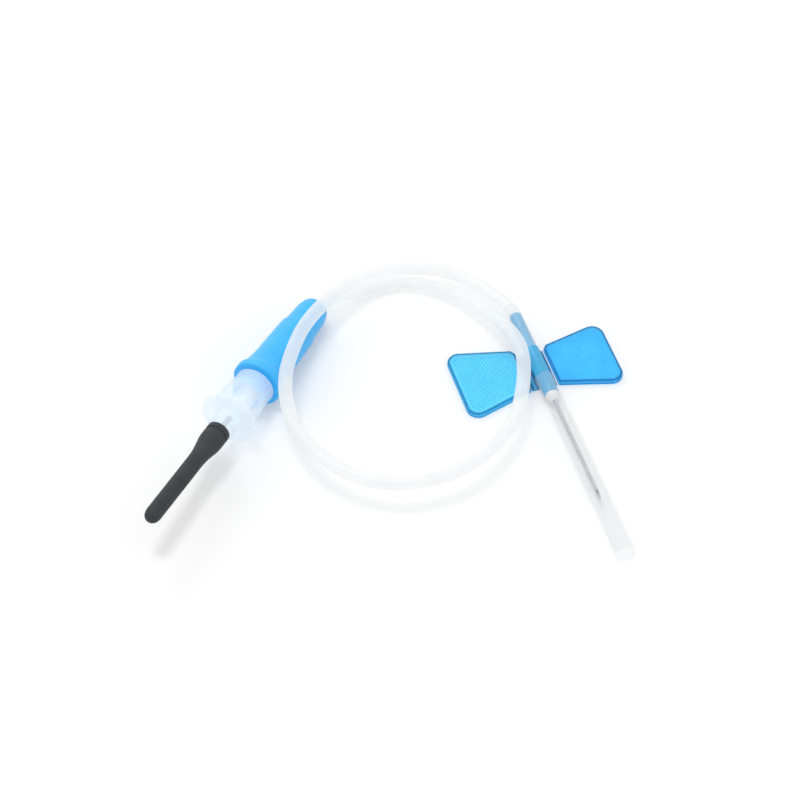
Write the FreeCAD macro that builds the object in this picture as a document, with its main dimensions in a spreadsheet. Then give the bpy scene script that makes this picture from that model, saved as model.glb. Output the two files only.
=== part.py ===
# Butterfly infusion set at rest on a table: winged needle in its sheath, one loose loop of
# tubing, a female luer connector and a luer adapter with a rubber-sleeved rear needle.
# Millimetres. +X to the right, +Y away from the viewer, +Z up, the table top at Z = 0.
import FreeCAD, Part
import math
import os
import Sketcher

doc = FreeCAD.newDocument("ButterflyNeedle")
sheet = doc.addObject("Spreadsheet::Sheet", "Sizes")

sizes = {
    # place of the winged needle: rear end of its spigot, height of its axis, heading
    "hubPlaceX": 21.81, "hubPlaceY": 26.34, "hubAxisHeight": 2.0, "hubHeading": -72.9,
    # place of the luer assembly: centre of the connector's flange, heading, downward slope
    "luerPlaceX": -23.87, "luerPlaceY": 7.19, "luerAxisHeight": 5.12, "luerHeading": 64.1, "luerSlope": 5.8,
    # tubing
    "tubeOuterRadius": 1.23, "tubeBoreRadius": 0.75, "pushFit": 0.05, "spigotGrip": 0.02,
    "tubeLead": 4.6, "tubeApproach": 2.2,
    # hub of the winged needle
    "spigotLength": 8.8, "spigotRadius": 0.73, "barrelRadius": 1.42, "barrelLength": 6.6,
    "barrelEdge": 0.08, "noseLength": 4.3, "noseRadius": 1.32, "noseEdge": 0.25,
    "hubBoreRadius": 0.34, "lumenRadius": 0.3,
    "webThickness": 0.2, "webLength": 8.35, "hingeOffset": 2.5, "hingeGap": 0.15, "webSetback": 0.15,
    # wings
    "wingThickness": 0.95, "wingRootLength": 8.35, "wingSpan": 14.4, "wingRearSweep": 3.3,
    "wingFrontSweep": 3.25, "wingCornerRadius": 2.1, "rootChamfer": 0.8, "wingEdgeRound": 0.12,
    "rootSetback": 0.7,
    # patient needle
    "needleRadius": 0.32, "needleBoreRadius": 0.17, "needleExposed": 24.4, "needleBuried": 10.0,
    "bevelAngle": 14.0,
    # glue fillet round the needle's root
    "glueLength": 1.5, "glueRadius": 0.95,
    # needle sheath
    "sheathLength": 41.4, "sheathGap": 0.1, "sheathRootRadius": 1.62, "sheathMouthRadius": 1.9,
    "sheathWall": 0.24,
    # female luer connector
    "flangeRadius": 4.95, "flangeThickness": 1.7, "flangeLip": 0.5, "flareLength": 4.0, "flareCurve": 4.2,
    "connectorLength": 22.9, "waistRadius": 3.65, "bodyRadius": 3.46, "bodyEnd": 15.2,
    "shoulderRadius": 3.26, "shoulderEnd": 15.6, "gripRadius": 3.02, "gripEnd": 20.8,
    "ringRadius": 2.9, "tipRound": 1.1, "tubeSocketDepth": 6.2,
    "luerNoseLength": 3.0, "luerNoseRadius": 2.85, "lugRadius": 3.1, "lugLength": 1.1,
    "luerSocketDepth": 8.2, "luerMouthRadius": 2.15, "luerTaper": 0.03, "luerLumenRadius": 0.6,
    # luer adapter
    "collarLength": 8.6, "rimGap": 0.35, "collarRadius": 3.85, "collarRootRadius": 4.35, "collarWall": 0.5,
    "discRadius": 5.3, "discThickness": 0.95, "neckLength": 3.25, "neckRadius": 2.32,
    "barbLength": 4.6, "barbRadius": 1.5, "barbTipRadius": 1.15, "maleReach": 10.6, "luerClearance": 0.05,
    "adapterLumenRadius": 0.75,
    # rear needle and its rubber sleeve
    "rearNeedleRadius": 0.4, "rearNeedleBoreRadius": 0.26, "rearNeedleGap": 2.0,
    "rubberRadius": 1.43, "rubberWall": 0.45, "rubberLength": 23.6, "cuffRadius": 2.08, "cuffLength": 1.1,
    "cuffGrooveWidth": 0.5, "cuffGrooveDepth": 0.22, "cuffBodyLength": 1.6, "rubberConeLength": 4.4,
    "rubberTipThickness": 1.4,
}
for row, (alias, value) in enumerate(sizes.items(), start=1):
    sheet.set(f"A{row}", alias)
    sheet.set(f"B{row}", str(value))
    sheet.setAlias(f"B{row}", alias)
doc.recompute()


class Length:
    # A size known both as a number and as an expression on the sheet.
    def __init__(self, number, words):
        self.number = number
        self.words = words

    def __add__(self, other):
        other = asLength(other)
        return Length(self.number + other.number, f"({self.words} + {other.words})")

    def __sub__(self, other):
        other = asLength(other)
        return Length(self.number - other.number, f"({self.words} - {other.words})")

    def __mul__(self, factor):
        factor = asLength(factor)
        return Length(self.number * factor.number, f"({self.words} * {factor.words})")

    def __neg__(self):
        return Length(-self.number, f"(-{self.words})")


def asLength(value):
    return value if isinstance(value, Length) else Length(float(value), repr(float(value)))


def size(alias):
    return Length(float(sheet.get(alias)), f"Sizes.{alias}")


zero = asLength(0)


def newBody(name):
    body = doc.addObject("PartDesign::Body", name)
    body.Label = name
    return body


def originPlane(body, role):
    return next(feature for feature in body.Origin.OriginFeatures if feature.Role == role)


def arcBetween(start, end, radius, side):
    # Minor arc from start to end; side +1 puts its centre to the left of the way.
    chord = end - start
    half = chord.Length / 2
    reach = math.sqrt(max(radius * radius - half * half, 0))
    left = FreeCAD.Vector(-chord.y, chord.x, 0).normalize()
    centre = (start + end) * 0.5 + left * (reach * side)
    middle = centre + ((start + end) * 0.5 - centre).normalize() * radius
    if reach < 1e-9:
        middle = centre - left * (radius * side)
    return Part.Arc(start, middle, end)


def profileSketch(body, name, role, corners, arcs=()):
    # Closed outline through corners. arcs maps a corner's number to (radius, side) of the
    # arc that leads from it to the next corner.
    arcs = dict(arcs)
    sketch = body.newObject("Sketcher::SketchObject", name)
    sketch.AttachmentSupport = [(originPlane(body, role), "")]
    sketch.MapMode = "FlatFace"
    points = [FreeCAD.Vector(x.number, y.number, 0) for x, y in corners]
    count = len(points)
    shapes = []
    startEnd = []
    for number in range(count):
        start, end = points[number], points[(number + 1) % count]
        if number in arcs:
            radius, side = arcs[number]
            curve = arcBetween(start, end, radius.number, side)
            shapes.append(curve)
            startEnd.append((1, 2) if side > 0 else (2, 1))
        else:
            shapes.append(Part.LineSegment(start, end))
            startEnd.append((1, 2))
    sketch.addGeometry(shapes, False)
    constraints = []
    datums = []
    for number in range(count):
        following = (number + 1) % count
        constraints.append(Sketcher.Constraint(
            "Coincident", number, startEnd[number][1], following, startEnd[following][0]))
    for number, (x, y) in enumerate(corners):
        place = startEnd[number][0]
        for kind, value in (("DistanceX", x), ("DistanceY", y)):
            datums.append((len(constraints), value))
            constraints.append(Sketcher.Constraint(kind, -1, 1, number, place, value.number))
    for number, (radius, side) in arcs.items():
        datums.append((len(constraints), radius))
        constraints.append(Sketcher.Constraint("Radius", number, radius.number))
    sketch.addConstraint(constraints)
    for index, value in datums:
        if "Sizes." in value.words:
            sketch.setExpression(f"Constraints[{index}]", value.words)
    return sketch


def revolved(body, sketch, name="Revolution"):
    feature = body.newObject("PartDesign::Revolution", name)
    feature.Profile = sketch
    feature.ReferenceAxis = (sketch, ["H_Axis"])
    feature.Angle = 360
    return feature


def placed(body, frame, along=None):
    # The two assemblies have a frame each: hub or luer. along shifts a piece on its own axis.
    prefix = {"hub": "hub", "luer": "luer"}[frame]
    body.setExpression("Placement.Base.x", f"Sizes.{prefix}PlaceX")
    body.setExpression("Placement.Base.y", f"Sizes.{prefix}PlaceY")
    body.setExpression("Placement.Base.z", f"Sizes.{prefix}AxisHeight")
    slope = size("luerSlope").number if frame == "luer" else 0
    body.Placement.Rotation = FreeCAD.Rotation(size(f"{prefix}Heading").number, slope, 0)
    return body


def edgesAt(shape, test):
    return [f"Edge{number}" for number, edge in enumerate(shape.Edges, start=1) if test(edge)]


# Winged hub: spigot for the tubing, barrel, nose for the sheath and the thin web that
# carries both wings. Its axis is local X, from the spigot's end towards the needle.
spigotEnd = size("spigotLength")
barrelEnd = spigotEnd + size("barrelLength")
noseEnd = barrelEnd + size("noseLength")
bore = size("hubBoreRadius")
lumen = size("lumenRadius")
boreStart = noseEnd - size("needleBuried")


def makeHub():
    body = newBody("winged_hub")
    barrel = size("barrelRadius")
    nose = size("noseRadius")
    sketch = profileSketch(body, "HubProfile", "XZ_Plane", [
        (zero, lumen), (zero, size("spigotRadius")), (spigotEnd, size("spigotRadius")),
        (spigotEnd, barrel - size("barrelEdge")), (spigotEnd + size("barrelEdge"), barrel),
        (barrelEnd - size("barrelEdge"), barrel), (barrelEnd, barrel - size("barrelEdge")),
        (barrelEnd, nose), (noseEnd - size("noseEdge"), nose), (noseEnd, nose - size("noseEdge")),
        (noseEnd, bore), (boreStart, bore), (boreStart, lumen)],
        {3: (size("barrelEdge"), -1), 5: (size("barrelEdge"), -1), 8: (size("noseEdge"), -1)})
    revolved(body, sketch)
    doc.recompute()
    web = profileSketch(body, "WebOutline", "XZ_Plane", [
        (spigotEnd - size("rootSetback"), -size("hubAxisHeight")),
        (spigotEnd - size("rootSetback") + size("webLength"), -size("hubAxisHeight")),
        (spigotEnd - size("rootSetback") + size("webLength"), size("webThickness") - size("hubAxisHeight")),
        (spigotEnd - size("rootSetback"), size("webThickness") - size("hubAxisHeight"))])
    pad = body.newObject("PartDesign::Pad", "Web")
    pad.Profile = web
    pad.Midplane = True
    pad.setExpression("Length", "2 * (Sizes.hingeOffset - Sizes.webSetback)")
    doc.recompute()
    saddle = profileSketch(body, "SaddleOutline", "XZ_Plane", [
        (spigotEnd + size("barrelEdge"), size("webThickness") - size("hubAxisHeight")),
        (barrelEnd - size("barrelEdge"), size("webThickness") - size("hubAxisHeight")),
        (barrelEnd - size("barrelEdge"), zero), (spigotEnd + size("barrelEdge"), zero)])
    rib = body.newObject("PartDesign::Pad", "Saddle")
    rib.Profile = saddle
    rib.Midplane = True
    rib.setExpression("Length", "2 * Sizes.barrelRadius * 0.8")
    doc.recompute()
    borer = profileSketch(body, "BoreProfile", "XZ_Plane", [
        (boreStart, zero), (noseEnd, zero), (noseEnd, bore), (boreStart, bore)])
    groove = body.newObject("PartDesign::Groove", "NeedleBore")
    groove.Profile = borer
    groove.ReferenceAxis = (borer, ["H_Axis"])
    groove.Angle = 360
    doc.recompute()
    passage = profileSketch(body, "LumenProfile", "XZ_Plane", [
        (zero, zero), (boreStart, zero), (boreStart, lumen), (zero, lumen)])
    lumenCut = body.newObject("PartDesign::Groove", "Lumen")
    lumenCut.Profile = passage
    lumenCut.ReferenceAxis = (passage, ["H_Axis"])
    lumenCut.Angle = 360
    return placed(body, "hub")


def makeWing(name, side):
    # side +1 is the right wing, -1 the left one. The root edge follows the hinge.
    body = newBody(name)
    root = (size("hingeOffset") + size("hingeGap")) * side
    tip = size("wingSpan") * side
    rear = spigotEnd - size("rootSetback")
    front = rear + size("wingRootLength")
    sketch = profileSketch(body, "WingOutline", "XY_Plane", [
        (rear, root), (front, root),
        (front + size("wingFrontSweep"), tip), (rear - size("wingRearSweep"), tip),
        (rear - size("rootChamfer"), root + size("rootChamfer") * (0.75 * side))])
    pad = body.newObject("PartDesign::Pad", "Plate")
    pad.Profile = sketch
    pad.setExpression("Length", "Sizes.wingThickness")
    doc.recompute()
    corners = edgesAt(pad.Shape, lambda edge: abs(edge.tangentAt(edge.FirstParameter).z) > 0.99
                      and abs(edge.CenterOfMass.y - tip.number) < 0.01)
    rounding = body.newObject("PartDesign::Fillet", "RoundedCorners")
    rounding.Base = (pad, corners)
    rounding.setExpression("Radius", "Sizes.wingCornerRadius")
    doc.recompute()
    rim = edgesAt(rounding.Shape, lambda edge: abs(edge.CenterOfMass.z - size("wingThickness").number) < 1e-6)
    soft = body.newObject("PartDesign::Fillet", "SoftEdge")
    soft.Base = (rounding, rim)
    soft.setExpression("Radius", "Sizes.wingEdgeRound")
    placed(body, "hub")
    body.setExpression("Placement.Base.z", None)
    body.Placement.Base.z = 0
    return body


def makeNeedle():
    body = newBody("patient_needle")
    sketch = profileSketch(body, "NeedleProfile", "XZ_Plane", [
        (boreStart, size("needleBoreRadius")), (noseEnd + size("needleExposed"), size("needleBoreRadius")),
        (noseEnd + size("needleExposed"), size("needleRadius")), (boreStart, size("needleRadius"))])
    revolved(body, sketch)
    doc.recompute()
    tip = noseEnd + size("needleExposed")
    drop = size("needleRadius") * 2
    back = Length(drop.number / math.tan(math.radians(size("bevelAngle").number)),
                  "(2 * Sizes.needleRadius / tan(Sizes.bevelAngle * 1deg))")
    ground = profileSketch(body, "BevelOutline", "XZ_Plane", [
        (tip, -size("needleRadius")), (tip + drop, -size("needleRadius")),
        (tip + drop, size("needleRadius") * 2), (tip - back - back * 0.5, size("needleRadius") * 2)])
    cut = body.newObject("PartDesign::Pocket", "Bevel")
    cut.Profile = ground
    cut.Midplane = True
    cut.setExpression("Length", "4 * Sizes.needleRadius")
    return placed(body, "hub")


def makeGlue():
    body = newBody("needle_glue")
    inner = size("needleRadius") + 0.01
    sketch = profileSketch(body, "GlueProfile", "XZ_Plane", [
        (noseEnd, inner), (noseEnd + size("glueLength"), inner),
        (noseEnd + size("glueLength"), inner + 0.12), (noseEnd, size("glueRadius"))],
        {2: (size("glueLength") * 1.15, 1)})
    revolved(body, sketch)
    return placed(body, "hub")


def makeSheath():
    body = newBody("needle_sheath")
    start = barrelEnd + size("sheathGap")
    end = start + size("sheathLength")
    root = size("sheathRootRadius")
    mouth = size("sheathMouthRadius")
    wall = size("sheathWall")
    sketch = profileSketch(body, "SheathProfile", "XZ_Plane", [
        (start, root - wall), (end, mouth - wall), (end, mouth), (start, root)])
    revolved(body, sketch)
    return placed(body, "hub")


# Luer assembly. Local X runs from the rubber sleeve towards the tubing, zero at the front
# face of the connector's flange.
collarStart = -(size("collarLength") + size("rimGap"))
discStart = collarStart - size("discThickness")
neckStart = discStart - size("neckLength")
barbStart = neckStart - size("barbLength")


def makeConnector():
    body = newBody("luer_connector")
    length = size("connectorLength")
    flange = size("flangeRadius")
    mouth = -size("luerNoseLength")
    socketEnd = mouth + size("luerSocketDepth")
    socketEndRadius = size("luerMouthRadius") - size("luerSocketDepth") * size("luerTaper")
    tubeHole = size("tubeOuterRadius") + size("pushFit")
    socketStart = length - size("tubeSocketDepth")
    lip = size("flangeLip")
    flareEnd = size("flangeThickness") + size("flareLength")
    sketch = profileSketch(body, "ConnectorProfile", "XZ_Plane", [
        (mouth, size("luerMouthRadius")), (mouth, size("lugRadius")),
        (mouth + size("lugLength"), size("lugRadius")), (mouth + size("lugLength"), size("luerNoseRadius")),
        (zero, size("luerNoseRadius")), (zero, flange - lip), (lip, flange),
        (size("flangeThickness") - lip * 0.5, flange), (size("flangeThickness"), flange - lip * 0.5),
        (flareEnd, size("waistRadius")), (size("bodyEnd"), size("bodyRadius")),
        (size("shoulderEnd"), size("shoulderRadius")), (size("shoulderEnd"), size("gripRadius")),
        (size("gripEnd"), size("gripRadius")), (size("gripEnd"), size("ringRadius")),
        (length - size("tipRound"), size("ringRadius")), (length, size("ringRadius") - size("tipRound")),
        (length, tubeHole), (socketStart, tubeHole), (socketStart, size("luerLumenRadius")),
        (socketEnd, size("luerLumenRadius")), (socketEnd, socketEndRadius)],
        {5: (lip, -1), 7: (lip * 0.5, -1), 8: (size("flareCurve"), 1), 15: (size("tipRound"), -1)})
    revolved(body, sketch)
    return placed(body, "luer")


def makeAdapter():
    body = newBody("luer_adapter")
    collar = size("collarRadius")
    rim = -size("rimGap")
    reach = collarStart + size("maleReach")
    socketMouth = -size("luerNoseLength")
    # the male cone has the socket's own taper, less the clearance
    rootRadius = (size("luerMouthRadius") - size("luerClearance")
                  + (socketMouth - collarStart) * size("luerTaper"))
    noseRadius = rootRadius - size("maleReach") * size("luerTaper")
    needleHole = size("rearNeedleRadius") + 0.03
    sketch = profileSketch(body, "AdapterProfile", "XZ_Plane", [
        (barbStart, needleHole), (barbStart, size("barbTipRadius")),
        (neckStart, size("barbRadius")), (neckStart, size("neckRadius")),
        (discStart, size("neckRadius")), (discStart, size("discRadius")),
        (collarStart, size("discRadius")), (collarStart, size("collarRootRadius")), (rim, collar),
        (rim, collar - size("collarWall")), (collarStart, size("collarRootRadius") - size("collarWall")),
        (collarStart, rootRadius), (reach, noseRadius), (reach, size("adapterLumenRadius")),
        (discStart, size("adapterLumenRadius")), (discStart, needleHole)])
    revolved(body, sketch)
    return placed(body, "luer")


def makeRearNeedle():
    body = newBody("rear_needle")
    start = neckStart - size("rubberLength") + size("rubberTipThickness") + size("rearNeedleGap")
    end = discStart + 0.4
    sketch = profileSketch(body, "RearNeedleProfile", "XZ_Plane", [
        (start, size("rearNeedleBoreRadius")), (start + 1.0, size("rearNeedleRadius")),
        (end, size("rearNeedleRadius")), (end, size("rearNeedleBoreRadius"))])
    revolved(body, sketch)
    return placed(body, "luer")


def makeRubberSleeve():
    body = newBody("rubber_sleeve")
    tip = neckStart - size("rubberLength")
    cuffStart = neckStart - size("cuffLength")
    grooveStart = cuffStart - size("cuffGrooveWidth")
    coneStart = grooveStart - size("cuffBodyLength")
    coneEnd = coneStart - size("rubberConeLength")
    cuff = size("cuffRadius")
    outer = size("rubberRadius")
    inner = outer - size("rubberWall")
    fit = size("spigotGrip")
    sketch = profileSketch(body, "SleeveProfile", "XZ_Plane", [
        (tip, zero), (tip + outer, outer), (coneEnd, outer), (coneStart, cuff),
        (grooveStart, cuff), (grooveStart, cuff - size("cuffGrooveDepth")),
        (cuffStart, cuff - size("cuffGrooveDepth")), (cuffStart, cuff), (neckStart, cuff),
        (neckStart, size("barbRadius") + fit), (barbStart, size("barbTipRadius") + fit),
        (barbStart - 0.6, inner), (tip + size("rubberTipThickness"), inner),
        (tip + size("rubberTipThickness"), zero)],
        {0: (outer, -1)})
    revolved(body, sketch)
    return placed(body, "luer")


# Route of the tubing, clockwise seen from above: out of the connector, round the back,
# down the right side over the wing's root, across the front, up the left side over the
# connector, round the back once more and onto the hub's spigot.
def local(frame, along):
    prefix = "hub" if frame == "hub" else "luer"
    heading = math.radians(size(f"{prefix}Heading").number)
    slope = math.radians(size("luerSlope").number) if frame == "luer" else 0
    place = FreeCAD.Vector(size(f"{prefix}PlaceX").number, size(f"{prefix}PlaceY").number,
                           size(f"{prefix}AxisHeight").number)
    way = FreeCAD.Vector(math.cos(heading) * math.cos(slope), math.sin(heading) * math.cos(slope),
                         -math.sin(slope))
    return place + way * along


def tubeRoute():
    socketEnd = local("luer", size("connectorLength").number - size("tubeSocketDepth").number)
    leavesConnector = local("luer", size("connectorLength").number + size("tubeLead").number)
    meetsHub = local("hub", -size("tubeApproach").number)
    hubEnd = local("hub", size("spigotLength").number)
    freePoints = [
        (-4.8, 35.4, 1.6), (5.4, 36.2, 1.6), (14.1, 31.4, 2.4), (19.2, 24.4, 5.2), (22.5, 16.0, 8.6),
        (22.9, 6.8, 8.9), (20.4, -2.5, 8.2), (15.8, -10.5, 7.2), (8.8, -16.0, 6.4), (-0.3, -17.5, 6.2),
        (-9.0, -13.7, 6.8), (-15.2, -6.2, 8.4), (-19.1, 3.1, 10.8), (-19.7, 12.8, 11.9), (-17.2, 22.0, 11.4),
        (-11.9, 29.7, 9.8), (-3.7, 35.1, 8.0), (5.8, 36.5, 6.3), (13.7, 34.9, 4.4), (18.0, 32.3, 2.9)]
    route = [FreeCAD.Vector(*point) for point in freePoints]
    return [socketEnd, leavesConnector] + route + [meetsHub, hubEnd]


def cordPath(points):
    # Straight runs joined by tangent arcs, each as large as its two runs allow.
    edges = []
    cursor = points[0]
    radii = []
    for before, corner, after in zip(points, points[1:], points[2:]):
        inward = (corner - before).normalize()
        outward = (after - corner).normalize()
        turn = inward.getAngle(outward)
        reach = 0.45 * min((corner - before).Length, (after - corner).Length)
        radius = reach / math.tan(turn / 2)
        radii.append((round(radius, 1), round(math.degrees(turn), 1)))
        arcStart = corner - inward * reach
        arcEnd = corner + outward * reach
        toCentre = (outward - inward).normalize()
        centre = corner + toCentre * (radius / math.cos(turn / 2))
        middle = centre - toCentre * radius
        edges.append(Part.LineSegment(cursor, arcStart).toShape())
        edges.append(Part.Arc(arcStart, middle, arcEnd).toShape())
        cursor = arcEnd
    edges.append(Part.LineSegment(cursor, points[-1]).toShape())
    print("tubing radii and turns:", radii)
    return Part.Wire(edges)


def sweptRod(path, radius):
    start = path.Edges[0].valueAt(path.Edges[0].FirstParameter)
    way = path.Edges[0].tangentAt(path.Edges[0].FirstParameter)
    ring = Part.Wire(Part.Circle(start, way, radius).toShape())
    return path.makePipeShell([ring], True, True)


def makeTubing():
    path = cordPath(tubeRoute())
    outer = size("tubeOuterRadius").number
    inner = size("tubeBoreRadius").number
    solid = sweptRod(path, outer).cut(sweptRod(path, inner))
    solid = solid.Solids[0] if solid.Solids else solid
    section = math.pi * (outer ** 2 - inner ** 2)
    print("tubing length %.1f, volume %.1f against %.1f" % (path.Length, solid.Volume, section * path.Length))
    feature = doc.addObject("Part::Feature", "tubing")
    feature.Label = "tubing"
    feature.Shape = solid
    return feature


parts = [
    makeHub(), makeWing("right_wing", 1), makeWing("left_wing", -1), makeNeedle(), makeGlue(),
    makeSheath(), makeConnector(), makeAdapter(), makeRearNeedle(), makeRubberSleeve(), makeTubing(),
]
doc.recompute()

for item in doc.Objects:
    if "Invalid" in item.State or "Error" in item.State:
        raise RuntimeError(f"{item.Label} failed: {item.State}")
for part in parts:
    if part.Shape.isNull() or not part.Shape.isValid() or not part.Shape.Solids:
        raise RuntimeError(f"{part.Label} has no sound solid")

os.makedirs("parts", exist_ok=True)
for part in parts:
    part.Shape.exportStep(f"parts/{part.Label}.step")
    box = part.Shape.BoundBox
    print("%-16s volume %8.2f  x %7.2f %7.2f  y %7.2f %7.2f  z %6.2f %6.2f" % (
        part.Label, part.Shape.Volume, box.XMin, box.XMax, box.YMin, box.YMax, box.ZMin, box.ZMax))
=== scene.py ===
import math

import bpy
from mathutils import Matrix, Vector


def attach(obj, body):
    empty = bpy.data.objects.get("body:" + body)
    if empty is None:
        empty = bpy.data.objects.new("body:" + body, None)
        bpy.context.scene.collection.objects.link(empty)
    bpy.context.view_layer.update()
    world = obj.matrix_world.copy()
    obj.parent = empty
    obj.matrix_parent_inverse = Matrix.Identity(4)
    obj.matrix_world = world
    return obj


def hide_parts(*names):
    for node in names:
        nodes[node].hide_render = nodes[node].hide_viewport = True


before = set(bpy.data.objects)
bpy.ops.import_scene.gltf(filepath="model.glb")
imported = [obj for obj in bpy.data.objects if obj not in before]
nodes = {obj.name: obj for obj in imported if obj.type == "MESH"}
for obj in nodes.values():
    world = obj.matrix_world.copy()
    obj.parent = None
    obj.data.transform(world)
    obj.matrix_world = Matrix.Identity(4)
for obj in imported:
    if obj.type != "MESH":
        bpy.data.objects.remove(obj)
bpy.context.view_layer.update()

mm = 0.001  # lengths below are typed in millimetres and turned to metres where they are used

# the two straight assemblies, each with its own line: the winged needle and the luer end
needleLine = {"origin": (21.81, 26.34, 2.0), "heading": -72.9, "slope": 0.0}
luerLine = {"origin": (-23.87, 7.19, 5.12), "heading": 64.1, "slope": 5.8}
# the needle's line brought down to the table, for what stands on it
footLine = {**needleLine, "origin": needleLine["origin"][:2] + (0.0,)}


def onLine(line, along):
    heading, slope = math.radians(line["heading"]), math.radians(line["slope"])
    way = Vector((math.cos(heading) * math.cos(slope), math.sin(heading) * math.cos(slope),
                  -math.sin(slope)))
    return (Vector(line["origin"]) + way * along) * mm


def linear(hexText):
    # sRGB hex to the linear colour that the shaders take
    channels = [int(hexText[i:i + 2], 16) / 255 for i in (1, 3, 5)]
    return tuple(c / 12.92 if c <= 0.04045 else ((c + 0.055) / 1.055) ** 2.4
                 for c in channels) + (1.0,)


def addNode(material, kind, inputs=None, **settings):
    # one node with its settings; an input given as a socket is linked, anything else is typed in
    node = material.node_tree.nodes.new("ShaderNode" + kind)
    for name, value in settings.items():
        setattr(node, name, value)
    for name, value in (inputs or {}).items():
        if isinstance(value, bpy.types.NodeSocket):
            material.node_tree.links.new(value, node.inputs[name])
        else:
            node.inputs[name].default_value = value
    return node


def newMaterial(name):
    material = bpy.data.materials.new(name)
    material.use_nodes = True
    material.node_tree.nodes.clear()
    return material


def finishMaterial(material, surface):
    addNode(material, "OutputMaterial", {"Surface": surface})
    return material


print("materials")

plastic = {
    "ior": 1.5,
    # the middle band of the noise that spots and colours are drawn from, and its fineness
    "noiseLow": 0.3, "noiseHigh": 0.7, "noiseDetail": 2.0,
    # a mould's skin: how much glossier and duller its spots are, and how deep, in millimetres
    "glossier": 0.04, "duller": 0.05, "spotDepth": 0.01,
    # size of the slow drift in colour, in millimetres
    "solidDrift": 4.0, "clearDrift": 3.0,
    # clear walls: size of the skin's spots, how the rim of a curved wall gathers, and the share
    # of the veil that is lit from behind
    "clearGrain": 0.6, "rimBlend": 0.35, "rimPower": 2.5, "backLit": 0.4,
    # how softly the painted low shade begins, how soon a dip's colour begins above the lower face,
    # and where a tight wall begins to come away, as a share of its reach
    "paintedShadeEase": 0.08, "dipEase": 0.02, "tightEase": 0.9,
}
steel = {"colour": "#B9BCC1", "markSize": 1 / 6, "glossy": 0.18, "dull": 0.34,
         "relief": 0.15, "markDepth": 0.01}
tableTop = {"colour": "#F8F8F8", "ownLight": 0.2, "size": 4000.0, "height": -0.03}


def lettingLightThrough(material, surface, tint, share):
    # part of the lamps' light passes a see-through piece, so its shadow is pale and tinted
    path = addNode(material, "LightPath")
    amount = addNode(material, "Math", {0: path.outputs["Is Shadow Ray"], 1: share},
                     operation="MULTIPLY").outputs[0]
    clear = addNode(material, "BsdfTransparent", {"Color": linear(tint)}).outputs[0]
    return addNode(material, "MixShader", {0: amount, 1: surface, 2: clear}).outputs[0]


def skin(material, grain, roughness):
    # the fine skin a mould leaves: grain is the size of its spots in millimetres, and they break
    # up the gloss
    place = addNode(material, "TexCoord").outputs["Object"]
    spots = addNode(material, "TexNoise", {"Vector": place, "Scale": 1.0 / (grain * mm),
                                           "Detail": plastic["noiseDetail"]}).outputs["Fac"]
    gloss = addNode(material, "MapRange", {
        "Value": spots, "From Min": plastic["noiseLow"], "From Max": plastic["noiseHigh"],
        "To Min": roughness - plastic["glossier"],
        "To Max": roughness + plastic["duller"]}).outputs["Result"]
    return place, spots, gloss


def tones(material, place, size, colours):
    # slow drift between two close colours, size in millimetres
    cloud = addNode(material, "TexNoise", {"Vector": place, "Scale": 1.0 / (size * mm),
                                           "Detail": plastic["noiseDetail"]})
    tone = addNode(material, "ValToRGB", {"Fac": cloud.outputs["Fac"]})
    ends = (plastic["noiseLow"], plastic["noiseHigh"])
    for element, end, colour in zip(tone.color_ramp.elements, ends, colours):
        element.position = end
        element.color = linear(colour)
    return tone.outputs["Color"]


def between(material, place, start, end):
    # 0 to 1 as the height over the table goes from start to end, in millimetres
    height = addNode(material, "SeparateXYZ", {0: place}).outputs["Z"]
    return addNode(material, "MapRange", {"Value": height, "From Min": start * mm,
                                          "From Max": end * mm}).outputs[0]


def moulded(name, colours, grain, bump, roughness, lit=None, paintedLowShade=None, **sockets):
    # injection-moulded plastic. lit is a (tint, share) of the light in its shadow. The painted low
    # shade is a (colour, start, end, top): painted shade, in that colour from the height start on,
    # and back to its own colour between end and top
    material = newMaterial(name)
    place, spots, gloss = skin(material, grain, roughness)
    colour = tones(material, place, plastic["solidDrift"], colours)
    # painted shade: the colour darkens low down, by height
    if paintedLowShade:
        shade, start, end, top = paintedLowShade
        low = between(material, place, start, start + plastic["paintedShadeEase"])
        high = between(material, place, top, end)
        share = addNode(material, "Math", {0: low, 1: high}, operation="MULTIPLY").outputs[0]
        colour = addNode(material, "Mix", {0: share, 6: colour, 7: linear(shade)},
                         data_type="RGBA").outputs[2]
    relief = addNode(material, "Bump", {"Height": spots, "Strength": bump,
                                        "Distance": plastic["spotDepth"] * mm}).outputs["Normal"]
    inputs = {"Base Color": colour, "Roughness": gloss, "Normal": relief}
    inputs.update({key.replace("_", " "): value for key, value in sockets.items()})
    surface = addNode(material, "BsdfPrincipled", inputs).outputs[0]
    if lit:
        surface = lettingLightThrough(material, surface, *lit)
    return finishMaterial(material, surface)


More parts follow.
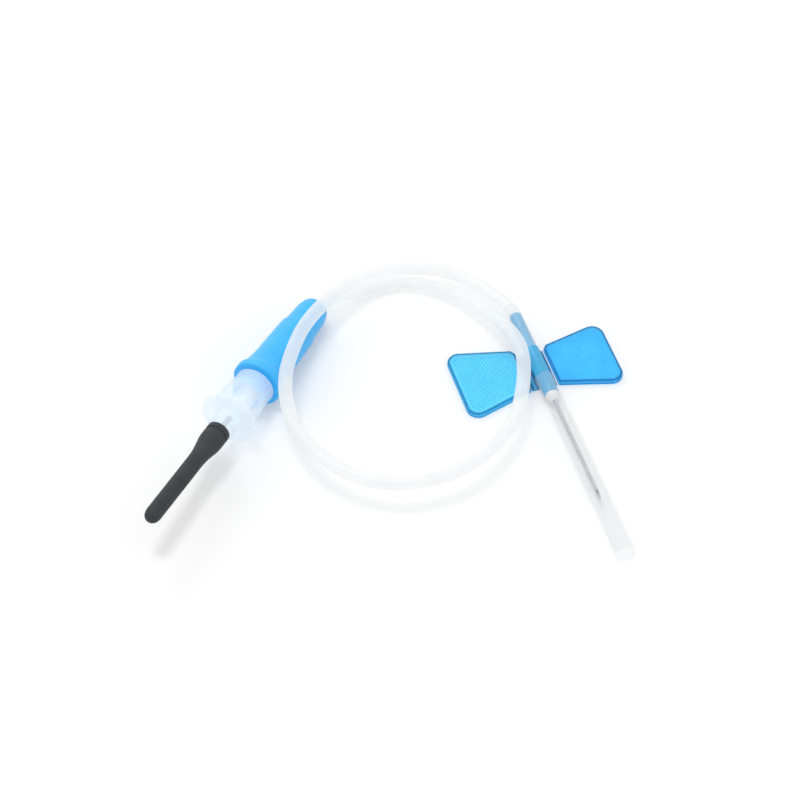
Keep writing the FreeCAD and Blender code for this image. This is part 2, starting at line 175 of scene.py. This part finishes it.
def clearPlastic(name, colours, tint, roughness, cover, edgeCover, lit, paintedGlow, edgeTone=None,
                 tight=None, dips=None):
    # see-through plastic: cover is how much of what lies behind the face is veiled, edgeCover how
    # much more is veiled where the wall is seen edge on, in the colour edgeTone, painted shade
    # along
    # the outline. The glow is painted light: the wall emits its own colour, standing in for light
    # that has scattered along inside it. lit is a (tint, share) of the light in its
    # shadow. tight is a (centre, reach, height, cover) where the wall lies on what is inside it,
    # with no air between, and veils it less. dips is a (colour, tint, low, high) that the plate
    # takes on where its upper face comes down from the height high to low
    material = newMaterial(name)
    place, _, gloss = skin(material, plastic["clearGrain"], roughness)
    colour, tinted = tones(material, place, plastic["clearDrift"], colours), linear(tint)
    facing = addNode(material, "LayerWeight", {"Blend": plastic["rimBlend"]}).outputs["Facing"]
    rim = addNode(material, "Math", {0: facing, 1: plastic["rimPower"]},
                  operation="POWER").outputs[0]
    # where the wall is seen edge on its veil turns to edgeTone: painted shade along the outline
    if edgeTone:
        colour = addNode(material, "Mix", {0: rim, 6: colour, 7: linear(edgeTone)},
                         data_type="RGBA").outputs[2]
    if dips:
        dipColour, dipTint, low, high = dips
        foot = low / 2  # under this height the face is the plate's lower one
        dip = addNode(material, "Math", {
            0: between(material, place, foot, foot + plastic["dipEase"]),
            1: between(material, place, high, low)}, operation="MULTIPLY").outputs[0]
        colour = addNode(material, "Mix", {0: dip, 6: colour, 7: linear(dipColour)},
                         data_type="RGBA").outputs[2]
        tinted = addNode(material, "Mix", {0: dip, 6: tinted, 7: linear(dipTint)},
                         data_type="RGBA").outputs[2]
    # the wall emits its own colour by the strength of the glow: painted light
    face = addNode(material, "BsdfPrincipled", {
        "Base Color": colour, "Roughness": gloss, "IOR": plastic["ior"],
        "Emission Color": colour, "Emission Strength": paintedGlow}).outputs[0]
    through = addNode(material, "BsdfTranslucent", {"Color": colour}).outputs[0]
    veil = addNode(material, "MixShader", {0: plastic["backLit"], 1: face, 2: through}).outputs[0]
    clear = addNode(material, "BsdfTransparent", {"Color": tinted}).outputs[0]
    if tight:
        centre, reach, height, tightCover = tight
        away = addNode(material, "VectorMath", {0: place, 1: centre},
                       operation="DISTANCE").outputs["Value"]
        near = addNode(material, "MapRange", {
            "Value": away, "From Min": reach * mm,
            "From Max": reach * mm * plastic["tightEase"]}).outputs[0]
        up = addNode(material, "SeparateXYZ", {0: place}).outputs["Z"]
        below = addNode(material, "Math", {0: up, 1: height * mm},
                        operation="LESS_THAN").outputs[0]
        both = addNode(material, "Math", {0: near, 1: below}, operation="MULTIPLY").outputs[0]
        cover = addNode(material, "MapRange", {"Value": both, "To Min": cover,
                                               "To Max": tightCover}).outputs[0]
    share = addNode(material, "Math", {0: rim, 1: edgeCover, 2: cover},
                    operation="MULTIPLY_ADD", use_clamp=True).outputs[0]
    surface = addNode(material, "MixShader", {0: share, 1: clear, 2: veil}).outputs[0]
    return finishMaterial(material, lettingLightThrough(material, surface, *lit))


# moulded ABS, solid blue and satin: the light soaks in a little, so its shaded side stays bright
connectorBlue = moulded(
    "blueMouldedAbs", ("#34B4F6", "#3AB9FA"), grain=0.5, bump=0.1, roughness=0.4,
    IOR=plastic["ior"], Subsurface_Weight=0.12, Subsurface_Scale=0.0012,
    Subsurface_Radius=(0.3, 0.8, 1.0))
# soft PVC with a clear blue dye: thin, so the table lightens it from below, and a painted glow
# lightens it more
wingLight = ("#74DAFF", 0.85)
wingBlue = clearPlastic(
    "clearBlueMouldedPvc", ("#4AC4F4", "#58D0FA"), tint="#C4F2FF", roughness=0.12,
    cover=0.42, edgeCover=0.2, lit=wingLight, paintedGlow=0.24, dips=("#98EDFA", "#E8FCFF", 0.81, 0.95))
# the dimpled wing is painted paler than the smooth one, a painted sheen for the light its dimples
# scatter, with its dimples painted in the deeper blue as painted shade in the pits, and a painted
# glow
dimpledBlue = clearPlastic(
    "clearBlueDimpledPvc", ("#76DFF4", "#82E6F8"), tint="#D6F7FF", roughness=0.12,
    cover=0.42, edgeCover=0.2, lit=wingLight, paintedGlow=0.24, dips=("#42B8EA", "#C4F0FD", 0.83, 0.95))
# the same PVC in the wings' side walls, painted darker blue towards the table as painted shade,
# with a painted glow
wingSideBlue = clearPlastic(
    "clearBluePvcWall", ("#43B8EC", "#4CC0F2"), tint="#BDEBFA", roughness=0.14,
    cover=0.6, edgeCover=0.1, lit=wingLight, paintedGlow=0.2, dips=("#1D6E93", "#8FD0E8", 0.12, 0.6))
# and at their rim, where the dye is looked at edge on
wingEdgeBlue = clearPlastic(
    "deepBluePvcRim", ("#1B7297", "#227DA2"), tint="#8FD8F2", roughness=0.2,
    cover=0.6, edgeCover=0.25, lit=wingLight, paintedGlow=0.0)
# the hub is thick, so its dye is deeper. Low down, in the walls that carry the barrel and the
# barrel's lower side, it is painted darker: painted shade
hubBlue = moulded(
    "clearBlueThickPvc", ("#3DB4E6", "#46BCEC"), grain=0.8, bump=0.03, roughness=0.2,
    lit=("#93E4FF", 0.5), paintedLowShade=("#1B6FA6", 0.26, 1.1, 1.7), IOR=plastic["ior"],
    Transmission_Weight=0.25)
# extruded milky vinyl, with a painted glow. On the hub's spigot it is stretched tight, and the blue
# shows
tubeVinyl = clearPlastic(
    "milkyExtrudedVinyl", ("#F3F4F4", "#F8F9F8"), tint="#F9FAFA", roughness=0.3,
    cover=0.56, edgeCover=0.24, lit=("#F7F9FB", 0.4), paintedGlow=0.12,
    tight=(tuple(onLine(needleLine, 3.6)), 6.0, 3.5, 0.3))
# extruded polypropylene of the needle's sheath: clear, walls faint grey where seen edge on, with a
# painted glow
sheathClear = clearPlastic(
    "clearExtrudedPolypropylene", ("#E6E8EA", "#EEF0F1"), tint="#FDFDFD", roughness=0.15,
    cover=0.1, edgeCover=0.5, lit=("#FDFDFD", 0.7), paintedGlow=0.25)
# moulded polycarbonate of the adapter, hazy and a little blue, with painted shade along its outline
# and a painted glow
adapterClear = clearPlastic(
    "hazyMouldedPolycarbonate", ("#EAEFF2", "#F3F6F8"), tint="#F8FBFD", roughness=0.1,
    cover=0.38, edgeCover=0.45, lit=("#F0F7FC", 0.7), paintedGlow=0.36, edgeTone="#A4B3BE")
# cured glue: clear and wet-looking
glueClear = moulded(
    "curedClearAdhesive", ("#FFFFFF", "#F6FAFC"), grain=0.3, bump=0.2, roughness=0.08,
    lit=("#FFFFFF", 0.7), IOR=plastic["ior"], Transmission_Weight=0.3)
# moulded rubber: dark grey, dull, with dust-fine spots
sleeveRubber = moulded(
    "darkMouldedRubber", ("#36383C", "#3E4045"), grain=0.5, bump=0.03, roughness=0.55,
    IOR=1.45, Specular_IOR_Level=0.22)


def drawnSteel():
    # drawn stainless tube, electropolished: its fine marks break the highlight
    material = newMaterial("drawnPolishedSteel")
    place = addNode(material, "TexCoord").outputs["Object"]
    marks = addNode(material, "TexNoise", {"Vector": place, "Scale": 1.0 / (steel["markSize"] * mm),
                                           "Detail": plastic["noiseDetail"]}).outputs["Fac"]
    gloss = addNode(material, "MapRange", {"Value": marks, "To Min": steel["glossy"],
                                           "To Max": steel["dull"]}).outputs["Result"]
    relief = addNode(material, "Bump", {"Height": marks, "Strength": steel["relief"],
                                        "Distance": steel["markDepth"] * mm}).outputs["Normal"]
    return finishMaterial(material, addNode(material, "BsdfPrincipled", {
        "Base Color": linear(steel["colour"]), "Metallic": 1.0, "Roughness": gloss,
        "Normal": relief}).outputs[0])


needleSteel = drawnSteel()


def viewRays(material):
    # 1 for rays that look at the surface straight, in a reflection or through something clear
    path = addNode(material, "LightPath")
    seen = addNode(material, "Math", {0: path.outputs["Is Camera Ray"],
                                      1: path.outputs["Is Glossy Ray"]}, operation="MAXIMUM")
    return addNode(material, "Math", {0: seen.outputs[0], 1: path.outputs["Is Transmission Ray"]},
                   operation="MAXIMUM").outputs[0]


def whiteTable():
    # white laminate that photographs as plain white but keeps the shadows
    material = newMaterial("whiteLaminateTable")
    matt = addNode(material, "BsdfDiffuse", {"Color": linear(tableTop["colour"])}).outputs[0]
    white = addNode(material, "Emission", {"Color": (1, 1, 1, 1), "Strength": 1.0}).outputs[0]
    share = addNode(material, "Math", {0: viewRays(material), 1: tableTop["ownLight"]},
                    operation="MULTIPLY").outputs[0]
    surface = addNode(material, "MixShader", {0: share, 1: matt, 2: white}).outputs[0]
    return finishMaterial(material, surface)


print("camera, lamps and table")

view = {"target": (1.10, 7.95, 0.0), "distance": 400.0, "elevation": 49.0, "lens": 102.6,
        "sensor": 36.0, "nearest": 10.0}
# each lamp's place and size in metres, and its power in watts; then the room's own light on the
# object, and how bright it is where it is looked at
lamps = {
    "topLamp": {"place": (-0.14, 0.06, 0.9), "size": 0.2, "power": 2.0},
    "windowLamp": {"place": (-0.45, 0.85, 0.8), "size": 0.45, "power": 1.6},
}
room = {"light": 0.8, "seen": 1.0}


def addCamera():
    data = bpy.data.cameras.new("camera")
    data.lens = view["lens"]
    data.sensor_width = view["sensor"]
    data.clip_start = view["nearest"] * mm
    camera = bpy.data.objects.new("camera", data)
    bpy.context.scene.collection.objects.link(camera)
    elevation = math.radians(view["elevation"])
    back = Vector((0, -math.cos(elevation), math.sin(elevation))) * view["distance"]
    camera.location = (Vector(view["target"]) + back) * mm
    camera.rotation_euler = (math.pi / 2 - elevation, 0, 0)
    bpy.context.scene.camera = camera


def addLamps():
    aim = Vector(view["target"]) * mm
    for name, settings in lamps.items():
        data = bpy.data.lights.new(name, "AREA")
        data.size = settings["size"]
        data.energy = settings["power"]
        lamp = bpy.data.objects.new(name, data)
        bpy.context.scene.collection.objects.link(lamp)
        lamp.location = settings["place"]
        towards = aim - Vector(settings["place"])
        lamp.rotation_euler = towards.to_track_quat("-Z", "Y").to_euler()


def addRoom():
    world = bpy.data.worlds.new("paleRoom")
    world.use_nodes = True
    world.node_tree.nodes.clear()
    bpy.context.scene.world = world
    white = (1, 1, 1, 1)
    lit = addNode(world, "Background", {"Color": white, "Strength": room["light"]}).outputs[0]
    seen = addNode(world, "Background", {"Color": white, "Strength": room["seen"]}).outputs[0]
    mixed = addNode(world, "MixShader", {0: viewRays(world), 1: lit, 2: seen}).outputs[0]
    addNode(world, "OutputWorld", {"Surface": mixed})


def addTable():
    bpy.ops.mesh.primitive_plane_add(size=tableTop["size"] * mm,
                                     location=(0, 0, tableTop["height"] * mm))
    table = bpy.context.object
    table.name = "table"
    bpy.ops.object.transform_apply(location=True)
    table.data.materials.append(whiteTable())


bpy.ops.object.select_all(action="DESELECT")
addCamera()
addLamps()
addRoom()
addTable()
bpy.context.scene.view_settings.view_transform = "Standard"


def selectOnly(piece):
    bpy.ops.object.select_all(action="DESELECT")
    piece.select_set(True)
    bpy.context.view_layer.objects.active = piece


def settle(piece, line, turned):
    # puts a piece that was made at the origin on its line, with its place in its mesh.
    # A turned piece was made along Z, the others along X
    piece.location = Vector(line["origin"]) * mm
    lean = math.radians(line["slope"]) + (math.pi / 2 if turned else 0)
    piece.rotation_euler = (0, lean, math.radians(line["heading"]))
    selectOnly(piece)
    bpy.ops.object.transform_apply(location=True, rotation=True, scale=True)


def softenEdges(piece, width, segments=3, angle=28):
    bevel = piece.modifiers.new("softEdges", "BEVEL")
    bevel.width = width * mm
    bevel.segments = segments
    bevel.limit_method = "ANGLE"
    bevel.angle_limit = math.radians(angle)
    bpy.context.view_layer.objects.active = piece
    bpy.ops.object.modifier_apply(modifier=bevel.name)


def shadeSmooth(piece, angle=40):
    selectOnly(piece)
    bpy.ops.object.shade_smooth_by_angle(angle=math.radians(angle))


def turnedPiece(name, shape, line):
    # a ring drawn out along Z through (distance, radius) stations, as on a lathe. Stations that
    # end where they began close a hollow piece, and one with a radius of 0.001 merges to a point.
    # Its edge, if it has one, is less than half of its shortest step
    bpy.ops.object.select_all(action="DESELECT")
    stations = shape["stations"]
    distance, radius = stations[0]
    bpy.ops.mesh.primitive_circle_add(vertices=shape["segments"], radius=radius * mm,
                                      location=(0, 0, distance * mm))
    piece = bpy.context.object
    piece.name = name
    bpy.ops.object.transform_apply(location=True)
    bpy.ops.object.mode_set(mode="EDIT")
    bpy.ops.mesh.select_all(action="SELECT")
    for (z0, r0), (z1, r1) in zip(stations, stations[1:]):
        move = {"value": (0, 0, (z1 - z0) * mm)}
        bpy.ops.mesh.extrude_edges_move(TRANSFORM_OT_translate=move)
        if r1 != r0:
            bpy.ops.transform.resize(value=(r1 / r0, r1 / r0, 1),
                                     center_override=(0, 0, z1 * mm))
    bpy.ops.mesh.select_all(action="SELECT")
    bpy.ops.mesh.remove_doubles(threshold=0.002 * mm)
    bpy.ops.mesh.normals_make_consistent(inside=False)
    bpy.ops.object.mode_set(mode="OBJECT")
    if shape["edge"]:
        softenEdges(piece, shape["edge"])
    settle(piece, line, turned=True)
    shadeSmooth(piece)
    return piece


def dress(piece, body, slot, replaced, *materials):
    # the finish, the body that carries the piece, its material slot, which is not used, and the CAD
    # node it stands for
    for material in materials:
        piece.data.materials.append(material)
    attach(piece, body)
    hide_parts(replaced)


print("tubing")

tubing = {
    "radius": 1.23,
    "wholeLength": 200.0,
    "roundness": 10, "smoothness": 16, "order": 3,
    # out of the connector, along the table at the back, over the left wing's root, round the
    # front, up over the connector, round the back again and onto the hub's spigot
    "route": [
        (-5.6, 33.3, 1.5), (2.0, 35.8, 1.35), (10.2, 32.7, 1.9), (16.4, 26.7, 3.2),
        (21.4, 18.6, 5.6), (22.9, 12.4, 6.2), (22.2, 3.6, 6.2), (20.4, -2.6, 6.1),
        (15.7, -9.5, 6.0), (9.9, -13.8, 6.0), (1.9, -16.2, 6.0), (-6.0, -14.7, 6.1),
        (-12.7, -10.1, 6.4), (-17.6, -2.9, 7.2), (-19.0, 5.6, 8.1), (-17.5, 13.0, 8.3),
        (-15.5, 19.4, 7.8), (-11.1, 27.3, 6.4), (-5.2, 33.5, 5.1), (2.0, 36.2, 4.4),
        (10.6, 36.0, 3.6), (17.6, 31.6, 2.7)],
    # distances along the luer line, and then along the needle's
    "inConnector": 17.0, "leavesConnector": 22.9, "leadOut": 24.8,
    "leadIn": -1.6, "onSpigot": 3.0, "atHub": 8.83,
}


def layTubing():
    curve = bpy.data.curves.new("milkyTubing", "CURVE")
    curve.dimensions = "3D"
    curve.bevel_depth = tubing["radius"] * mm
    curve.bevel_resolution = tubing["roundness"]
    curve.use_fill_caps = True
    curve.resolution_u = tubing["smoothness"]
    points = [onLine(luerLine, tubing[key]) for key in ("inConnector", "leadOut")]
    points += [Vector(point) * mm for point in tubing["route"]]
    points += [onLine(needleLine, tubing[key]) for key in ("leadIn", "onSpigot", "atHub")]
    spline = curve.splines.new("NURBS")
    spline.points.add(len(points) - 1)
    for point, place in zip(spline.points, points):
        point.co = (*place, 1.0)
    spline.order_u = tubing["order"]
    spline.use_endpoint_u = True
    tube = bpy.data.objects.new("milkyTubing", curve)
    bpy.context.scene.collection.objects.link(tube)
    dress(tube, "winged_set", "tube_vinyl", "tubing", tubeVinyl)


layTubing()

print("luer end")

# distances run from the connector's flange face towards the tubing, in millimetres
connectorShape = {
    "edge": 0.1, "segments": 96,
    "stations": [
        # rim of the socket, then the flange and its flare
        (-3.0, 2.15), (-3.0, 3.05), (-1.9, 3.05), (-1.9, 2.8), (0.0, 2.8), (0.0, 4.2),
        (0.06, 4.42), (0.25, 4.52), (1.2, 4.56), (1.45, 4.46), (1.75, 4.28), (2.2, 4.12),
        (2.8, 3.99), (3.6, 3.86), (4.6, 3.74), (5.7, 3.64),
        # grip and the step down to its rounded end
        (8.0, 3.58), (10.3, 3.53), (12.6, 3.48), (15.2, 3.38), (15.45, 3.16), (17.5, 3.0),
        (20.75, 2.84), (20.95, 2.7), (21.8, 2.58), (22.35, 2.34), (22.7, 2.0), (22.88, 1.6),
        # back inside: the tubing's seat, the bore and the socket
        (22.9, 1.28), (16.7, 1.28), (16.7, 0.6), (5.2, 0.6), (5.2, 1.9), (-3.0, 2.15)],
}
adapterShape = {
    "edge": 0.045, "segments": 96,
    "stations": [
        # neck with its two ribs
        (-17.75, 0.45), (-17.75, 1.15), (-13.15, 1.5), (-13.15, 2.1), (-13.0, 2.2),
        (-12.8, 2.3), (-12.55, 2.3), (-12.4, 2.15), (-11.4, 2.15), (-11.2, 2.3),
        (-10.95, 2.3), (-10.8, 2.15), (-10.1, 2.2), (-9.9, 2.45),
        # disc, then the collar and its rim
        (-9.9, 4.95), (-9.7, 5.15), (-9.3, 5.15), (-9.05, 4.95), (-9.05, 4.15),
        (-0.95, 3.5), (-0.8, 3.6), (-0.4, 3.6), (-0.3, 3.52),
        # back inside the collar, round the male luer and along its bore
        (-0.3, 3.24), (-1.4, 3.22), (-1.5, 3.26), (-8.3, 3.7), (-8.6, 3.5), (-8.6, 2.0),
        (1.9, 1.68), (1.95, 0.78), (-9.9, 0.78), (-9.9, 0.45), (-17.75, 0.45)],
}
sleeveShape = {
    "edge": None, "segments": 96,
    "stations": [
        # closed tip and the long straight part
        (-36.79, 0.001), (-36.76, 0.3), (-36.7, 0.56), (-36.5, 0.87), (-36.15, 1.15),
        (-35.7, 1.34), (-35.2, 1.42), (-34.5, 1.43), (-21.4, 1.44), (-20.4, 1.48),
        # swelling and the groove before the cuff
        (-19.2, 1.62), (-17.8, 1.86), (-16.9, 2.02), (-16.2, 2.08), (-14.75, 2.1),
        (-14.72, 1.95), (-14.5, 1.88), (-14.28, 1.95), (-14.25, 2.1), (-13.3, 2.08),
        (-13.17, 1.9),
        # back inside, tight on the neck and then clear of the needle
        (-13.17, 1.53), (-17.75, 1.18), (-18.4, 0.98), (-35.3, 0.98), (-35.35, 0.001)],
}

connector = turnedPiece("blueLuerConnector", connectorShape, luerLine)
dress(connector, "winged_set", "blue_plastic", "luer_connector", connectorBlue)
adapter = turnedPiece("clearLuerAdapter", adapterShape, luerLine)
dress(adapter, "adapter", "clear_plastic", "luer_adapter", adapterClear)
sleeve = turnedPiece("rubberSleeve", sleeveShape, luerLine)
dress(sleeve, "adapter", "black_rubber", "rubber_sleeve", sleeveRubber)

print("needle sheath")

# distances run from the hub's end in the tubing towards the needle's tip, in millimetres
sheathShape = {
    "edge": 0.04, "segments": 96,
    "stations": [
        (15.5, 1.40), (15.5, 1.62), (16.3, 1.64), (30.0, 1.71), (44.0, 1.74), (55.6, 1.78),
        (55.9, 1.8), (56.1, 1.78), (56.1, 1.57), (44.0, 1.52), (30.0, 1.46), (20.4, 1.41),
        (15.5, 1.40)],
}
sheath = turnedPiece("clearNeedleSheath", sheathShape, needleLine)
dress(sheath, "sheath", "clear_plastic", "needle_sheath", sheathClear)

print("wings")

wing = {
    "thickness": 0.95, "cornerRadius": 2.1, "roundedCorners": (2, 3), "cornerCuts": 8,
    "rounding": 0.22, "rimWidth": 0.46, "wallSlope": 0.3, "smoothAngle": 50,
    "cell": 0.13, "overhang": 1.02, "cutMerge": 0.0005,
    "dimplePitch": 0.78, "dimpleDepth": 0.2, "dimpleMargin": 0.9, "dimpleFade": 0.3,
    "dimpleFullness": 0.75,
    "ringCentre": (10.5, 7.6), "ringRadius": 1.9, "ringWidth": 0.16, "ringDepth": 0.03,
}
# outlines run from the root's rear corner round to its chamfer, as (along the needle, out from it)
rightWingShape = {**wing, "side": 1, "dimpled": False, "outline": [
    (8.1, 2.65), (16.45, 2.65), (19.6, 14.25), (4.85, 14.25), (7.3, 3.25)]}
leftWingShape = {**wing, "side": -1, "dimpled": True, "outline": [
    (7.7, 2.65), (16.6, 2.65), (20.3, 14.85), (4.15, 14.85), (6.9, 3.25)]}


def outlineSides(shape):
    # each side of the outline as a point and its outward normal
    corners = [Vector(corner) for corner in shape["outline"]]
    sides = []
    for start, end in zip(corners, corners[1:] + corners[:1]):
        way = (end - start).normalized()
        sides.append((start, Vector((way.y, -way.x))))
    return sides


def roundedCorner(shape, corner):
    # centre of the fillet at one outer corner, and the normals of the two sides that meet there
    sides = outlineSides(shape)
    n1, n2 = sides[corner - 1][1], sides[corner][1]
    middle = (n1 + n2).normalized()
    back = shape["cornerRadius"] / n1.dot(middle)
    return Vector(shape["outline"][corner]) - middle * back, n1, n2


def depthInside(shape, point):
    # how far a point of the plate lies from its rim, in millimetres
    depth = min(-(point - start).dot(normal) for start, normal in outlineSides(shape))
    for corner in shape["roundedCorners"]:
        centre, n1, n2 = roundedCorner(shape, corner)
        away = point - centre
        if away.dot(n1) > 0 and away.dot(n2) > 0:
            depth = min(depth, shape["cornerRadius"] - away.length)
    return depth


def wingHeight(shape, point):
    # the plate's upper face: round at the rim, then dimpled or with an ejector's faint ring
    depth = depthInside(shape, point)
    height = shape["thickness"]
    rounding = shape["rounding"]
    if depth < rounding:
        short = rounding - max(depth, 0)
        height -= rounding - math.sqrt(max(rounding ** 2 - short ** 2, 0))
    if shape["dimpled"]:
        turn = 2 * math.pi / shape["dimplePitch"]
        wave = math.cos(turn * point.x) * math.cos(turn * point.y)
        fade = min(max((depth - shape["dimpleMargin"]) / shape["dimpleFade"], 0), 1)
        height -= shape["dimpleDepth"] * fade * max(wave, 0) ** shape["dimpleFullness"]
    else:
        away = abs((point - Vector(shape["ringCentre"])).length - shape["ringRadius"])
        height -= shape["ringDepth"] * math.exp(-(away / shape["ringWidth"]) ** 2)
    return height


def wingCuts(shape):
    # the outline's sides, and short cuts that round its two outer corners
    cuts = outlineSides(shape)
    for corner in shape["roundedCorners"]:
        centre, n1, n2 = roundedCorner(shape, corner)
        turn = n1.angle(n2)
        for step in range(1, shape["cornerCuts"] + 1):
            share = step / (shape["cornerCuts"] + 1)
            normal = n1 * math.sin((1 - share) * turn) + n2 * math.sin(share * turn)
            normal = normal / math.sin(turn)
            cuts.append((centre + normal * shape["cornerRadius"], normal))
    return cuts


def wingPlate(name, shape):
    # a fine sheet cut to the outline, raised by its height, then drawn down to the table
    bpy.ops.object.select_all(action="DESELECT")
    xs = [x for x, y in shape["outline"]]
    ys = [y for x, y in shape["outline"]]
    low, high = Vector((min(xs), min(ys))), Vector((max(xs), max(ys)))
    span, middle = high - low, (high + low) / 2
    bpy.ops.mesh.primitive_grid_add(x_subdivisions=int(span.x / shape["cell"]),
                                    y_subdivisions=int(span.y / shape["cell"]), size=1.0)
    piece = bpy.context.object
    piece.name = name
    over = shape["overhang"] * mm
    piece.scale = (span.x * over, span.y * over, 1)
    piece.location = (middle.x * mm, middle.y * mm, 0)
    bpy.ops.object.transform_apply(location=True, rotation=True, scale=True)
    bpy.ops.object.mode_set(mode="EDIT")
    for start, normal in wingCuts(shape):
        bpy.ops.mesh.select_all(action="SELECT")
        bpy.ops.mesh.bisect(plane_co=(start.x * mm, start.y * mm, 0),
                            plane_no=(normal.x, normal.y, 0), clear_outer=True, use_fill=False,
                            threshold=shape["cutMerge"] * mm)
    bpy.ops.object.mode_set(mode="OBJECT")
    for vertex in piece.data.vertices:
        vertex.co.z = wingHeight(shape, vertex.co.xy / mm) * mm
    bpy.ops.object.mode_set(mode="EDIT")
    bpy.ops.mesh.select_all(action="SELECT")
    bpy.ops.mesh.region_to_loop()
    drop = {"value": (0, 0, -shape["thickness"] / 2 * mm)}
    bpy.ops.mesh.extrude_edges_move(TRANSFORM_OT_translate=drop)
    bpy.ops.transform.resize(value=(1, 1, 0), center_override=(0, 0, 0))
    bpy.ops.mesh.edge_face_add()
    bpy.ops.object.mode_set(mode="OBJECT")
    for vertex in piece.data.vertices:
        vertex.co.y = shape["side"] * vertex.co.y
    bpy.ops.object.mode_set(mode="EDIT")
    bpy.ops.mesh.select_all(action="SELECT")
    bpy.ops.mesh.normals_make_consistent(inside=False)
    bpy.ops.object.mode_set(mode="OBJECT")
    for material in (dimpledBlue if shape["dimpled"] else wingBlue, wingEdgeBlue, wingSideBlue):
        piece.data.materials.append(material)
    for face in piece.data.polygons:
        middle = Vector((face.center.x, shape["side"] * face.center.y)) / mm
        if abs(face.normal.z) < shape["wallSlope"]:
            face.material_index = 2
        elif depthInside(shape, middle) < shape["rimWidth"]:
            face.material_index = 1
    settle(piece, footLine, turned=False)
    shadeSmooth(piece, shape["smoothAngle"])
    return piece


rightWing = wingPlate("smoothRightWing", rightWingShape)
dress(rightWing, "right_wing", "blue_plastic", "right_wing")
leftWing = wingPlate("dimpledLeftWing", leftWingShape)
dress(leftWing, "left_wing", "blue_plastic", "left_wing")

print("hub, needles and glue")

# spigot in the tubing, barrel, nose in the sheath
hubShape = {
    "edge": 0.028, "segments": 64,
    "stations": [
        (0.0, 0.4), (0.0, 0.8), (0.25, 1.08), (8.8, 1.12), (8.8, 1.34), (8.92, 1.42),
        (15.3, 1.42), (15.4, 1.34), (19.4, 1.3), (19.7, 1.15), (19.7, 0.36), (9.7, 0.36),
        (9.7, 0.3), (0.0, 0.3), (0.0, 0.4)],
}
# the web under the barrel has a saddle up to it and a low ridge along each fold. Its section
# runs across it, from one fold to the other, as (out from the middle, height)
web = {
    "start": 8.1, "end": 16.45, "edge": 0.04, "edgeSegments": 2, "edgeAngle": 40,
    "section": [
        (-2.35, 0.0), (-2.35, 0.34), (-2.3, 0.38), (-2.12, 0.38), (-2.0, 0.22), (-1.5, 0.22),
        (-1.12, 0.5), (-1.0, 1.3), (1.0, 1.3), (1.12, 0.5), (1.5, 0.22), (2.0, 0.22),
        (2.12, 0.38), (2.3, 0.38), (2.35, 0.34), (2.35, 0.0)],
}
# the glue stands as a rounded cap on the nose and runs out along the needle
glueShape = {
    "edge": 0.02, "segments": 48,
    "stations": [
        (19.71, 0.33), (19.71, 1.2), (19.95, 1.26), (20.3, 1.2), (20.7, 0.98), (21.0, 0.66),
        (21.2, 0.42), (21.25, 0.33), (19.71, 0.33)],
}


def hubWeb():
    # the section laid out as a ring of points, then drawn along the needle
    bpy.ops.object.select_all(action="DESELECT")
    bpy.ops.mesh.primitive_circle_add(vertices=len(web["section"]), radius=mm, fill_type="NGON")
    piece = bpy.context.object
    for vertex, (out, height) in zip(piece.data.vertices, web["section"]):
        vertex.co = (web["start"] * mm, out * mm, height * mm)
    bpy.ops.object.mode_set(mode="EDIT")
    bpy.ops.mesh.select_all(action="SELECT")
    move = {"value": ((web["end"] - web["start"]) * mm, 0, 0)}
    bpy.ops.mesh.extrude_region_move(TRANSFORM_OT_translate=move)
    bpy.ops.mesh.select_all(action="SELECT")
    bpy.ops.mesh.normals_make_consistent(inside=False)
    bpy.ops.object.mode_set(mode="OBJECT")
    softenEdges(piece, web["edge"], web["edgeSegments"], web["edgeAngle"])
    settle(piece, footLine, turned=False)
    return piece


hub = turnedPiece("blueWingedHub", hubShape, needleLine)
webPiece = hubWeb()
selectOnly(hub)
webPiece.select_set(True)
bpy.ops.object.join()
shadeSmooth(hub)
dress(hub, "winged_set", "blue_plastic", "winged_hub", hubBlue)

glue = turnedPiece("needleGlueCap", glueShape, needleLine)
dress(glue, "winged_set", "clear_glue", "needle_glue", glueClear)

for name in ("patient_needle", "rear_needle"):
    nodes[name].data.materials.clear()
    nodes[name].data.materials.append(needleSteel)
